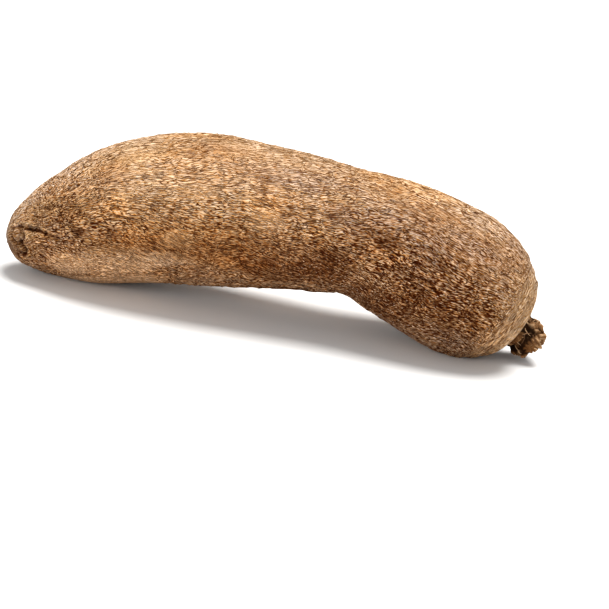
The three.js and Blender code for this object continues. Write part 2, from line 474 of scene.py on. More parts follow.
    def rest(self, points: Array) -> Array:
        """Lowers the root and turns what would sink below the floor into a flat.

        Args:
            points: points in millimetres, as the root was grown.

        Returns:
            The points of the root at rest on the floor.
        """
        z = points[..., 2] - self.settle
        edge = (z + self.flat_edge) ** 2 / (4 * self.flat_edge)
        z = np.where(z >= self.flat_edge, z, np.where(z <= -self.flat_edge, 0, edge))
        return np.concatenate([points[..., :2], z[..., None]], -1)


@dataclass
class Relief:
    """Heights of everything on the skin at a grid of places, and the masks that its finish reads.

    The masks are from 0 to 1: `hollow` in cracks and pits, which the finish darkens with painted
    shade,
    `lip` on the edges raised by creases, which it paints paler as a painted highlight, `neck` on
    the torn wood,
    `chip` on its pale edges, and `collar` where ridges ring the shoulder.
    """

    form: Form
    skin: Array
    angle: Array
    height: Array = field(init=False)
    hollow: Array = field(init=False)
    lip: Array = field(init=False)
    neck: Array = field(init=False)
    chip: Array = field(init=False)
    collar: Array = field(init=False)

    def __post_init__(self) -> None:
        """Works out the heights and masks once."""
        form, skin = self.form, self.skin
        self.neck = fade(skin, form.neck_start - 3, form.neck_start + 1)
        plain = form.plain_point(skin, self.angle, 0.0)
        to_scar = np.linalg.norm(plain - form.scar_middle, axis=-1)
        off_scar = fade(to_scar, *form.scar_calm)
        wrinkled = (fade(skin, *form.coarse_rise)
                    * (1 - fade(skin, form.collar_from - 5, form.collar_to)))
        ringed = fade(skin, form.collar_from, form.collar_from + 14) * (1 - self.neck)
        off_front = fade(np.abs(self.turn_from(form.collar_degrees)), 1.2, 2.2)
        self.collar = ringed * (1 - 0.7 * off_front)
        fine, cracks = self.fine_wrinkles()
        broad = self.creases(form.tail_creases) + self.spots(form.spots)
        marks = self.creases(form.fine_creases) + self.spots(form.fine_spots)
        calm = (1 - form.worn_calm * self.zone(Zone.WORN)) * (1 - form.collar_calm * self.collar)
        keep = (1 - self.neck) * calm * (0.35 + 0.65 * off_scar) * fade(skin, *form.fine_rise)
        keep *= 1 + form.rippled_gain * self.zone(Zone.RIPPLED)
        wood, self.chip, cavity_shade = self.torn_wood()
        self.height = (wrinkled * self.coarse_wrinkles() + ringed * self.collar_folds()
                       + self.collar * self.ring_ridges() + keep * fine + self.neck * wood
                       + broad + marks + self.scar_rings(to_scar))
        # The hollow mask carries painted shade: the finish darkens cracks, sunk marks and the
        # scar's rings with it, and fills the wood's cavities near-black.
        sunk = np.clip(-marks - 0.15, 0, 1) + 0.3 * np.clip(-broad / 1.6, 0, 1)
        self.hollow = np.clip(0.25 * keep * cracks + 1.2 * sunk + self.scar_ring_shade(to_scar)
                              + self.neck * cavity_shade, 0, 1)
        # The lip mask carries a painted highlight: the finish paints the raised edges paler.
        self.lip = np.clip(2.2 * marks, 0, 1)

    def blank(self) -> Array:
        """A nought for each place."""
        return np.zeros(np.broadcast(self.skin, self.angle).shape)

    def noise(self, length: float, count: int, shift: float = 0) -> Array:
        """Smooth noise from -1 to 1, on cells this long with this many of them round the root."""
        return ring_noise(self.skin / length + shift, self.angle, count)

    def turn_from(self, degrees: float) -> Array:
        """The turn from one angle to each place, in radians."""
        return turn_between(math.radians(degrees), self.angle)

    def zone(self, zone: Zone) -> Array:
        """How strongly a look shows at each place, from 0 to 1.

        Args:
            zone: the look.

        Returns:
            The strength, softly broken at the rims of its patches.
        """
        most = self.blank()
        radius = np.maximum(self.form.radius_at(self.skin), 8)
        for patch in (Patch(*row) for row in zone.value):
            along = (self.skin - patch.skin) / patch.half_length
            across = radius * self.turn_from(patch.degrees) / patch.half_width
            most = np.maximum(most, 1 - fade(np.hypot(along, across), 0.35, 1.35))
        return most

    def coarse_wrinkles(self) -> Array:
        """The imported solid's wrinkles, lower: weaving ridges with cracks between, and swells.

        Returns:
            Their height, in millimetres.
        """
        form = self.form
        weave = form.weave * self.noise(form.weave_length, 9)
        ridges = np.abs(np.cos((form.wrinkle_count * self.angle + weave) / 2)) - 0.64
        strength = 0.7 + 0.5 * self.noise(17, 14, 40)
        swells = self.noise(form.swell_length, form.swell_count, 7)
        return form.wrinkle_height * strength * ridges + form.swell_height * swells

    def fine_wrinkles(self) -> tuple[Array, Array]:
        """Short interlaced ridges in two sizes that follow the grain, with crumbs between them.

        Returns:
            Their height, and how deep in a crack each place is, from 0 to 1.
        """
        form = self.form
        sway = 0.05 * self.noise(7, 30)
        fine = mid = 0
        for start in (0, 0.5):
            turned, weight = form.leant(self.skin, self.angle, start)
            weight = weight / np.hypot(weight, 1 - weight)
            turned = turned + sway
            fine = fine + weight * ring_noise(self.skin / form.fine_length, turned,
                                              form.fine_count)
            mid = mid + weight * ring_noise(self.skin / form.mid_length + 60, turned,
                                            form.mid_count)
        fine, mid = np.abs(fine), np.abs(mid)
        strength = 0.8 + 0.45 * self.noise(21, 11, 15)
        height = strength * (form.fine_height * (fade(fine, 0, 0.45) - 0.6)
                             + form.mid_height * (fade(mid, 0, 0.4) - 0.6))
        cracks = strength * np.maximum(1 - fade(fine, 0, 0.16), 0.9 * (1 - fade(mid, 0, 0.1)))
        crumbs = np.maximum(self.noise(form.crumb_length, form.crumb_count, 80) - 0.25, 0)
        return height + form.crumb_height * crumbs, cracks

    def creases(self, creases: Sequence[Crease]) -> Array:
        """Heights of creases and thin ridges, each along a straight line on the skin.

        Args:
            creases: the creases, in any order.

        Returns:
            Their height, with a low lip beside each groove.
        """
        radius = self.form.radius_at(self.skin)
        total = self.blank()
        for crease in creases:
            (skin, degrees), (end_skin, end_degrees) = crease.start, crease.end
            end_skin = end_skin - skin
            end_across = radius * turn_between(math.radians(degrees), math.radians(end_degrees))
            here_skin, here_across = self.skin - skin, radius * self.turn_from(degrees)
            share = np.clip((here_skin * end_skin + here_across * end_across)
                            / (end_skin**2 + end_across**2), 0, 1)
            away = np.hypot(here_skin - share * end_skin, here_across - share * end_across)
            away = away / crease.width
            total += crease.height * (bell(away) - self.form.lip * bell(away - 2.2))
        return total

    def spots(self, spots: Sequence[Spot]) -> Array:
        """Heights of pits and bumps.

        Args:
            spots: the pits and bumps, in any order.

        Returns:
            Their height, in millimetres.
        """
        radius = self.form.radius_at(self.skin)
        total = self.blank()
        for spot in spots:
            away = np.hypot(self.skin - spot.skin, radius * self.turn_from(spot.degrees))
            total += spot.height * bell(away / spot.radius)
        return total

    def scar_rings(self, to_scar: Array) -> Array:
        """Height of the scar: a domed button with fine rings, the crease round it and a low lip.

        Args:
            to_scar: how far each place is from the scar's middle.

        Returns:
            The height, in millimetres.
        """
        size, crease = self.form.scar, self.form.scar_crease
        button = size.height * (1 - fade(to_scar, size.radius * 0.5, size.radius))
        ring = self.form.scar_depth * bell((to_scar - size.radius - crease) / crease)
        lip = 0.5 * size.height * bell((to_scar - size.radius - 3 * crease) / crease)
        wave = np.cos(TURN * to_scar / self.form.scar_ring_pitch)
        rings = self.form.scar_ring_height * wave * (1 - fade(to_scar, 5, 9))
        return button - ring + lip + rings

    def scar_ring_shade(self, to_scar: Array) -> Array:
        """How deep in the scar's rings each place is, from 0 to 1, for the painted shade that
        darkens them.

        Args:
            to_scar: how far each place is from the scar's middle.

        Returns:
            The depth, as a share.
        """
        size, crease = self.form.scar, self.form.scar_crease
        ring = bell((to_scar - size.radius - crease) / (0.5 * crease))
        wave = np.cos(TURN * to_scar / self.form.scar_ring_pitch)
        return 0.8 * ring + 0.5 * fade(-wave, 0.2, 1) * (1 - fade(to_scar, 3, 6))

    def collar_folds(self) -> Array:
        """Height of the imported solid's folds that ring the shoulder round the neck.

        Returns:
            Their height, in millimetres.
        """
        form = self.form
        wander = 1.5 * np.sin(self.angle + 0.8) + 0.8 * np.sin(2 * self.angle + 2)
        share = 0.35 + 0.65 * bell(self.turn_from(form.collar_degrees) / 1.1)
        return form.collar_height * share * np.sin(TURN * self.skin / form.collar_pitch + wander)

    def ring_ridges(self) -> Array:
        """Height of the thin long ridges that run round the shoulder beside one another.

        Returns:
            Their height, in millimetres.
        """
        form = self.form
        sway = 1.3 * self.noise(11, 9, 3) - 2.4 * np.sin(self.angle + 0.3)
        strength = 0.55 + 0.6 * self.noise(5, 9, 77)
        ridges = np.abs(np.cos(math.pi * (self.skin + sway) / form.ring_ridge_pitch)) - 0.64
        return form.ring_ridge_height * strength * ridges

    def torn_wood(self) -> tuple[Array, Array, Array]:
        """The torn bundles of wood on the neck and its broken end.

        Returns:
            Their height, where the pale edges are and where the dark cavities are, from 0 to 1; the
            cavities and the gap beside the collar get painted shade.
        """
        form = self.form
        tip = form.skin_length - self.skin
        bundles = np.abs(self.noise(form.neck_bundle_length, form.neck_bundles)) - 0.35
        knots = 0.5 * self.noise(3.5, 7)
        broken = ring_noise(tip / 4 + 31, self.angle, 7) * bell((tip - 6) / 5) * fade(tip, 0, 4)
        place = self.skin / form.lump_length + 0.45 * self.noise(2.4, 24) + 5
        turned = self.angle + 0.16 * self.noise(2.8, 20, 40)
        lumps, rank = ring_cells(place, turned, form.lump_count, 700)
        chips, chip_rank = ring_cells(place * form.chips_per_lump + 9, turned,
                                      form.chip_count, 300)
        rise = fade(lumps, 0, 0.7) * (0.15 + 0.85 * rank)
        small = fade(chips, 0, 0.5) * chip_rank
        rough = form.lump_height * (rise - 0.4) + form.chip_height * (small - 0.3)
        height = (form.neck_height * 0.6 * (bundles + knots) * fade(tip, 2, 9)
                  + form.neck_end_height * broken + rough * fade(tip, 1, 5))
        # Painted shade: the wood is darkened between the lumps, in gaps and beside the collar,
        # where shade falls.
        gaps = self.noise(4, 12, 21)
        collar_gap_shade = fade(tip + 3 * gaps, 13, 20)
        cavity_shade = np.clip(1 - fade(lumps, 0, 0.3) + 1.3 * gaps + 0.6 * (rank < 0.25)
                         + 0.45 * collar_gap_shade, 0, 1)
        return height, np.clip(0.6 * rise + 0.7 * small, 0, 1), cavity_shade


# ---- Finishes --------------------------------------------------------------------------------

class Term:
    """A socket of a material, on which sums are written as plain expressions."""

    def __init__(self, graph: Graph, socket: bpy.types.NodeSocket) -> None:
        """Keeps the socket and the graph that it belongs to."""
        self.graph = graph
        self.socket = socket

    def _sum(self, operation: str, first: Any, second: Any) -> Term:
        """One Math node."""
        return self.graph.term("ShaderNodeMath", {"operation": operation}, {0: first, 1: second})

    def __add__(self, other: Any) -> Term:
        """self + other."""
        return self._sum("ADD", self, other)

    def __sub__(self, other: Any) -> Term:
        """self - other."""
        return self._sum("SUBTRACT", self, other)

    def __rsub__(self, other: Any) -> Term:
        """other - self."""
        return self._sum("SUBTRACT", other, self)

    def __mul__(self, other: Any) -> Term:
        """self * other."""
        return self._sum("MULTIPLY", self, other)

    __radd__ = __add__
    __rmul__ = __mul__

    def absolute(self) -> Term:
        """The value without its sign."""
        return self._sum("ABSOLUTE", self, 0.0)

    def most(self, other: Any) -> Term:
        """The larger of two values."""
        return self._sum("MAXIMUM", self, other)


class Graph:
    """A material's nodes, added one at a time."""

    def __init__(self, name: str) -> None:
        """Starts an empty material.

        Args:
            name: the material's name.
        """
        self.material = bpy.data.materials.new(name)
        self.material.use_nodes = True
        self.tree = self.material.node_tree
        self.tree.nodes.clear()

    def node(self, kind: str, settings: dict[str, Any], inputs: dict[Any, Any]) -> bpy.types.Node:
        """Adds any node.

        Args:
            kind: the node's type.
            settings: its properties, set first; `stops` are a ramp's (place, colour) pairs.
            inputs: what each socket is given, by name or number: a number, a colour or a Term.

        Returns:
            The node.
        """
        node = self.tree.nodes.new(kind)
        for name, value in settings.items():
            if name == "stops":
                self._set_stops(node, value)
            else:
                setattr(node, name, value)
        for name, value in inputs.items():
            if isinstance(value, Term):
                self.tree.links.new(value.socket, node.inputs[name])
            else:
                node.inputs[name].default_value = value
        return node

    def _set_stops(self, node: bpy.types.Node, stops: Sequence[tuple[float, Any]]) -> None:
        """Gives a ramp its stops.

        Args:
            node: the ramp.
            stops: its (place, colour) pairs, in order.
        """
        elements = node.color_ramp.elements
        while len(elements) < len(stops):
            elements.new(0.5)
        for element, (place, colour) in zip(elements, stops):
            element.position = place
            element.color = colour

    def term(self, kind: str, settings: dict[str, Any], inputs: dict[Any, Any],
             output: int | str = 0) -> Term:
        """Adds any node and gives one of its outputs."""
        return Term(self, self.node(kind, settings, inputs).outputs[output])

    def vector(self, operation: str, first: Any, second: Any) -> Term:
        """A sum of two vectors."""
        return self.term("ShaderNodeVectorMath", {"operation": operation}, {0: first, 1: second})

    def mix(self, share: Any, first: Any, second: Any, mode: str = "MIX") -> Term:
        """A mixture of two colours."""
        settings = {"data_type": "RGBA", "blend_type": mode, "clamp_result": False}
        return self.term("ShaderNodeMix", settings, {0: share, 6: first, 7: second}, 2)

    def tint(self, share: Any, colour: Term, tint: Triple) -> Term:
        """A colour with its red, green and blue scaled where the share is 1."""
        return self.mix(share, colour, (*tint, 1.0), "MULTIPLY")

    def fade(self, value: Term, low: float, high: float) -> Term:
        """A smooth rise from 0 at low to 1 at high, or a fall where low is above high."""
        rises = low < high
        return self.term("ShaderNodeMapRange", {"interpolation_type": "SMOOTHSTEP"},
                         {0: value, 1: min(low, high), 2: max(low, high),
                          3: 0.0 if rises else 1.0, 4: 1.0 if rises else 0.0})

    def attribute(self, name: str, output: str = "Fac") -> Term:
        """A value that the mesh holds."""
        return self.term("ShaderNodeAttribute", {"attribute_name": name}, {}, output)

    def noise(self, place: Term, size: float, detail: float = 2.0, rough: float = 0.5,
              output: int | str = 0) -> Term:
        """Noise from 0 to 1 whose lumps are about this many millimetres."""
        return self.term("ShaderNodeTexNoise", {"noise_dimensions": "3D"},
                         {"Vector": place, "Scale": 1 / size, "Detail": detail,
                          "Roughness": rough}, output)

    def cells(self, place: Term, size: float, short: float) -> Term:
        """Distance to the nearest of many scattered points.

        Args:
            place: where it is read.
            size: how far apart the points are round the root, in millimetres.
            short: how much less a step along the root counts than one round it.

        Returns:
            0 at a point, and about 0.5 or more between them.
        """
        return self.term("ShaderNodeTexVoronoi", {"voronoi_dimensions": "3D", "feature": "F1"},
                         {"Vector": self.vector("MULTIPLY", place, (short, 1.0, 1.0)),
                          "Scale": 1 / size}, "Distance")

    def finish(self, inputs: dict[str, Any]) -> bpy.types.Material:
        """Adds the shader with these inputs and gives the material.

        Args:
            inputs: what the shader's sockets are given, by name.

        Returns:
            The material.
        """
        shader = self.node("ShaderNodeBsdfPrincipled", {}, inputs)
        output = self.node("ShaderNodeOutputMaterial", {}, {})
        self.tree.links.new(shader.outputs[0], output.inputs["Surface"])
        return self.material


def paint(red: int, green: int, blue: int) -> tuple[float, float, float, float]:
    """A colour as it looks on a screen, from 0 to 255, in the light's own scale."""
    def light(value: int) -> float:
        """One channel."""
        share = value / 255
        return share / 12.92 if share <= 0.04045 else ((share + 0.055) / 1.055) ** 2.4
    return (light(red), light(green), light(blue), 1.0)


@dataclass(frozen=True)
class Strand:
    """Noise drawn out along the grain.

    `offset` picks a layout, `size` is how wide a ridge is in millimetres, `stretch` how many times
    longer it is, and `width` how wide the furrows are that are cut where the noise is 0.
    """

    offset: float
    size: float
    stretch: float
    width: float = 0


@dataclass(frozen=True)
class SkinFinish:
    """Dry corky skin: tan ridges, brown hollows, thin dark cracks and pale scurf, with painted
    shade on the underside, in the hollows and under small ledges, and painted highlights on the top
    and on small crests.
    """

    # Ramp colours, from ridge to crack: the darker ones fall where the bump is low, partly the
    # skin's own darker brown and partly painted shade in its hollows.
    ridge: Paint = (221, 190, 160)
    body: Paint = (213, 178, 144)
    hollow: Paint = (186, 137, 88)
    crack: Paint = (80, 36, 6)
    scurf: Paint = (236, 209, 182)
    worn: Paint = (222, 183, 146)
    collar: Paint = (212, 182, 143)
    wood: Paint = (146, 109, 74)
    splinter: Paint = (214, 176, 136)
    # Painted shade: near-black in the torn wood's cavities.
    cavity_shade: Paint = (30, 14, 6)
    # Tints by zone: the first two are the skin's own hues; the third is painted shadow, the fourth
    # painted shade, the fifth partly an ochre tint and partly painted shade, and the last painted
    # light.
    tints: tuple[tuple[Zone, Triple], ...] = (
        (Zone.MAUVE, (0.88, 0.91, 1.0)), (Zone.RUSTY, (0.88, 0.82, 0.72)),
        (Zone.DARK, (0.52, 0.44, 0.36)), (Zone.DUSKY, (0.84, 0.79, 0.74)),
        (Zone.OCHRE, (0.96, 0.95, 0.90)), (Zone.PALE, (1.20, 1.14, 1.03)))
    # Painted shade: the underside darker and redder.
    under: Triple = (0.85, 0.74, 0.61)
    # Painted shade under small ledges, where the bumped surface faces down.
    ledge_shade: Triple = (0.70, 0.485, 0.16)
    # Painted highlight on small crests, where the bumped surface faces up.
    crest_highlight: Triple = (0.95, 1.01, 1.15)
    # Painted highlight: the root's top paler and cooler.
    upper: Triple = (0.98, 1.05, 1.18)
    long_lines: Strand = Strand(5, 1.1, 9.0, 0.06)
    short_lines: Strand = Strand(331, 0.62, 8.0, 0.075)
    ridges: Strand = Strand(720, 0.45, 5.0)
    tone_size: float = 26
    blotch_size: float = 6.5
    broken_size: float = 5
    patchy_size: float = 4
    plate_size: float = 1.05
    flake_size: float = 2.2
    fibre_size: float = 0.9
    drifts: tuple[Pair, Pair] = ((26, 6.5), (8, 1.7))
    lumpy_neck: Pair = (140, 215)
    lumpy_tail: Pair = (80, 40)
    roughness: float = 0.84
    gloss: float = 0.05

    def material(self, name: str) -> bpy.types.Material:
        """Builds the finish for a mesh that holds the skin's attributes.

        Args:
            name: the material's name.

        Returns:
            The material.
        """
        g = Graph(name)
        skin = Pattern(g, self)
        colour = self.cracked(g, skin, self.tinted_and_shaded(g, skin, self.layered(g, skin)))
        height = (skin.ridges * 0.9 - skin.plates * skin.lumpy - skin.long_lines * 0.8
                  - skin.short_lines * 0.6 + skin.flakes * 0.1)
        height = height * (1 - skin.neck) + skin.fibre * skin.neck * 1.4
        normal = g.term("ShaderNodeBump", {}, {"Strength": 1.0, "Distance": MM, "Height": height})
        rough = self.roughness + skin.ridges * 0.1 - skin.flakes * 0.05
        return g.finish({"Base Color": self.painted_light_and_shade(g, skin, colour, normal), "Roughness": rough,
                         "Normal": normal, "Specular IOR Level": self.gloss})

    def layered(self, g: Graph, skin: Pattern) -> Term:
        """Colour of the ridges and hollows, under scurf, worn patches, the collar and torn wood.

        Args:
            g: the material's graph.
            skin: its masks and noises.

        Returns:
            The colour.
        """
        # Darker where the ridge noise, which also raises the bump, is low: partly the skin's own
        # tone, partly painted shade.
        level = ((skin.ridges - 0.5) * (0.5 + 1.1 * skin.low) * (0.9 + 0.6 * skin.crisp)
                 * (1 + 0.5 * skin.rippled) + skin.blotch * 0.08 + skin.tone * 0.35 + 0.285
                 - (skin.plates - 0.5) * 0.2 * skin.lumpy)
        colour = g.term("ShaderNodeValToRGB", {"stops": (
            (0.0, paint(*self.crack)), (0.3, paint(*self.hollow)), (0.5, paint(*self.body)),
            (0.72, paint(*self.ridge)), (1.0, paint(*self.scurf)))}, {"Fac": level})
        colour = g.mix(skin.flakes * (0.4 + 0.3 * skin.low), colour, paint(*self.scurf))
        colour = g.mix(skin.smooth * 0.5, colour, paint(*self.worn))
        # Paler where the shoulder is ringed, the collar's own colour, and on the raised lips beside
        # creases, a painted highlight.
        raised = (skin.ringed * 0.4).most(g.attribute("lip") * 0.5)
        colour = g.mix(raised, colour, paint(*self.collar))
        chip = g.attribute("chip") + (skin.fibre - 0.5) * 1.1
        wood = g.mix(g.fade(chip, 0.3, 0.85), paint(*self.wood), paint(*self.splinter))
        return g.mix(skin.neck, colour, wood)

    def tinted_and_shaded(self, g: Graph, skin: Pattern, colour: Term) -> Term:
        """The colour with painted shade towards the underside, and the zones' tints, among them
        painted shadow, painted shade and painted light.

        Args:
            g: the material's graph.
            skin: its masks and noises.
            colour: the colour before.

        Returns:
            The colour after.
        """
        # Painted shade: darker and redder towards the underside, less on worn skin.
        under = g.fade(skin.rise + (skin.blotch - 0.5) * 0.5, 0.55, -0.35)
        colour = g.tint(under * (1 - skin.smooth * 0.8), colour, self.under)
        for zone, tint in self.tints:
            broken = g.attribute(zone.name.lower()) + (skin.blotch - 0.5) * 1.1
            colour = g.tint(g.fade(broken, 0.1, 1.0), colour, tint)
        return colour

    def cracked(self, g: Graph, skin: Pattern, colour: Term) -> Term:
        """The colour with pale specks on the plates, and dark in the cracks and pits: partly their
        own darker brown, partly painted shade, and near-black painted shade in the torn wood's
        cavities.

        Args:
            g: the material's graph.
            skin: its masks and noises.
            colour: the colour before.

        Returns:
            The colour after.
        """
        speck = g.fade(skin.plates, 0.36, 0.14) * skin.lumpy * (1 - skin.neck)
        colour = g.mix(speck * (0.15 + 0.5 * skin.low), colour, paint(*self.scurf))
        groove = g.fade(skin.plates, 0.45, 0.8) * skin.lumpy
        furrow = skin.long_lines.most(skin.short_lines).most(groove * 0.3)
        furrow = (furrow * (1 - skin.smooth * 0.5) * (1 - skin.neck * 0.6)
                  * (1 - skin.ringed * 0.3) * (0.95 + 0.3 * skin.low)
                  * (0.75 + 0.3 * skin.crisp + 0.25 * skin.rippled))
        # Painted shade, partly the cracks' own colour: cracks and pits go dark brown, the wood's
        # cavities near-black.
        deep = g.mix(skin.neck, paint(*self.crack), paint(*self.cavity_shade))
        return g.mix(furrow.most(g.attribute("hollow") * 0.9), colour, deep)

    def painted_light_and_shade(self, g: Graph, skin: Pattern, colour: Term, normal: Term) -> Term:
        """The colour with painted shade under small ledges, and painted highlights on small crests
        and on the root's top.

        Args:
            g: the material's graph.
            skin: its masks and noises.
            colour: the colour before.
            normal: the bumped normal.

        Returns:
            The colour after.
        """
        even = g.term("ShaderNodeNewGeometry", {}, {}, "Normal")
        lean = g.term("ShaderNodeVectorMath", {"operation": "DOT_PRODUCT"},
                      {0: g.vector("SUBTRACT", normal, even), 1: (0.0, 0.0, 1.0)}, "Value")
        # Painted shade under small ledges and painted highlights on small crests, by which way the
        # bumped surface faces; a painted highlight on the root's top.
        for share, tint in ((g.fade(lean, 0.05, -0.7), self.ledge_shade),
                            (g.fade(lean, -0.02, 0.35), self.crest_highlight),
                            (g.fade(skin.rise, 0.84, 0.98), self.upper)):
            colour = g.tint(share * (1 - skin.neck), colour, tint)
        return colour


class Pattern:
    """The masks and noises that the skin's finish is mixed from, most of them from 0 to 1.

    `low` grows from the upper side down, `crisp` is where along the root the skin is rough, and
    `lumpy` where it breaks into plates. `smooth` is worn skin and `flakes` are pale scurf. `grains`
    are the two leant places on a straightened root, each with its weight.
    """

    def __init__(self, g: Graph, finish: SkinFinish) -> None:
        """Adds the nodes, each once.

        Args:
            g: the material's graph.
            finish: the finish that reads them, for its sizes.
        """
        self.neck = g.attribute("neck")
        self.ringed = g.attribute("collar")
        self.rippled = g.attribute("rippled")
        self.rise = g.attribute("rise")
        self.low = g.fade(self.rise, 0.8, 0.0)

        place = g.attribute("grain", "Vector")
        self.tone = g.noise(place, finish.tone_size)
        self.blotch = g.noise(place, finish.blotch_size, 3.0, 0.6)
        self.smooth = g.fade(g.attribute("worn") + (self.blotch - 0.5) * 0.9, 0.2, 0.9)
        along = g.term("ShaderNodeSeparateXYZ", {}, {"Vector": place}, "X")
        along = along + (self.tone - 0.5) * 90
        by_neck, by_tail = g.fade(along, *finish.lumpy_neck), g.fade(along, *finish.lumpy_tail)
        self.crisp = 0.2 + 0.8 * by_neck.most(0.7 * by_tail)
        self.lumpy = self.crisp * (1 - self.ringed * 0.7) * (0.55 + 0.45 * self.low)

        drift = g.vector("ADD", *(self.drift(g, place, *sizes) for sizes in finish.drifts))
        self.grains = [(g.vector("ADD", g.attribute(f"grain_{side}", "Vector"), drift),
                        g.attribute(side)) for side in ("near", "far")]
        woven = g.vector("ADD", place, drift)
        self.plates = g.cells(woven, finish.plate_size, 0.62)
        broken = g.noise(place, finish.broken_size)
        patchy = g.noise(g.vector("ADD", place, (9, 9, 9)), finish.patchy_size)
        self.flakes = (g.fade(g.cells(woven, finish.flake_size, 0.38), 0.28, 0.12)
                       * g.fade(broken, 0.50, 0.64))
        self.long_lines = (self.furrows(g, finish.long_lines)
                           * (0.48 + 0.4 * g.fade(broken, 0.36, 0.58)))
        self.short_lines = (self.furrows(g, finish.short_lines)
                            * (0.7 + 0.3 * g.fade(patchy, 0.36, 0.58)))
        self.ridges = self.drawn(g, finish.ridges)
        self.fibre = g.noise(g.vector("MULTIPLY", place, (0.35, 1.0, 1.0)), finish.fibre_size,
                             3.0, 0.7)

    def drift(self, g: Graph, place: Term, size: float, most: float) -> Term:
        """A smooth drift, so that lengthwise lines weave; it is weaker along the root.

        Args:
            g: the material's graph.
            place: where it is read.
            size: how wide its swings are, in millimetres.
            most: how far it goes, in millimetres.

        Returns:
            The drift, as a vector.
        """
        noise = g.noise(place, size, 0.0, output="Color")
        noise = g.vector("SUBTRACT", noise, (0.5, 0.5, 0.5))
        return g.vector("MULTIPLY", noise, (0.3 * most, most, most))

    def drawn(self, g: Graph, strand: Strand) -> Term:
        """Noise drawn out along the grain, or round the root where the skin is ringed.

        Args:
            g: the material's graph.
            strand: its sizes.

        Returns:
            Values about 0.5, low in the hollows and high on the ridges.
        """
        short = 1 / strand.stretch

        def read(place: Term, scale: Triple) -> Term:
            """The noise about 0 at a place."""
            place = g.vector("ADD", place, (strand.offset, 41.0, 23.0))
            return g.noise(g.vector("MULTIPLY", place, scale), strand.size, 0.0) - 0.5

        near, far = (read(place, (short, 1.0, 1.0)) * weight for place, weight in self.grains)
        ringwise = read(self.grains[0][0], (1.0, short, short))
        return (near + far) * (1 - self.ringed) + ringwise * self.ringed + 0.5

    def furrows(self, g: Graph, strand: Strand) -> Term:
        """Thin furrows that branch and join, 1 in their middle and 0 on the plates between."""
        return 1 - g.fade((self.drawn(g, strand) - 0.5).absolute(), 0.0, strand.width)


@dataclass(frozen=True)
class FibreFinish:
    """Dry torn wood, each fibre with a tone of its own."""

    dark: Paint = (96, 62, 42)
    pale: Paint = (216, 182, 144)
    roughness: float = 0.9
    gloss: float = 0.05

    def material(self, name: str) -> bpy.types.Material:
        """Builds the finish for a mesh that holds a tone at each vertex.

        Args:
            name: the material's name.

        Returns:
            The material.
        """
        g = Graph(name)
        colour = g.mix(g.attribute("tone"), paint(*self.dark), paint(*self.pale))
        return g.finish({"Base Color": colour, "Roughness": self.roughness,
                         "Specular IOR Level": self.gloss})


@dataclass(frozen=True)
class PlainFinish:
    """An even surface, for the studio's floor."""

    tone: Paint = (222, 222, 222)
    roughness: float = 0.9
    gloss: float = 0.1

    def material(self, name: str) -> bpy.types.Material:
        """Builds the finish."""
        return Graph(name).finish({"Base Color": paint(*self.tone), "Roughness": self.roughness,
                                   "Specular IOR Level": self.gloss})


# ---- Pieces ----------------------------------------------------------------------------------

def add_piece(name: str, points: Array, faces: Sequence[Sequence[int]]) -> bpy.types.Object:
    """Makes a smooth-shaded mesh object.

    Args:
        name: the piece's name.
        points: its vertices, in metres.
        faces: its faces, as rows of vertex numbers.

    Returns:
        The object, in the scene.
    """
    mesh = bpy.data.meshes.new(name)
    mesh.from_pydata(points.tolist(), [], faces)
    mesh.polygons.foreach_set("use_smooth", np.ones(len(mesh.polygons), bool))
    mesh.update()
    piece = bpy.data.objects.new(name, mesh)
    bpy.context.scene.collection.objects.link(piece)
    return piece


@dataclass(frozen=True)
class Band:
    """A stretch of the skin: where it ends, how many rings it has and how many vertices each."""

    end: float
    rings: int
    sides: int


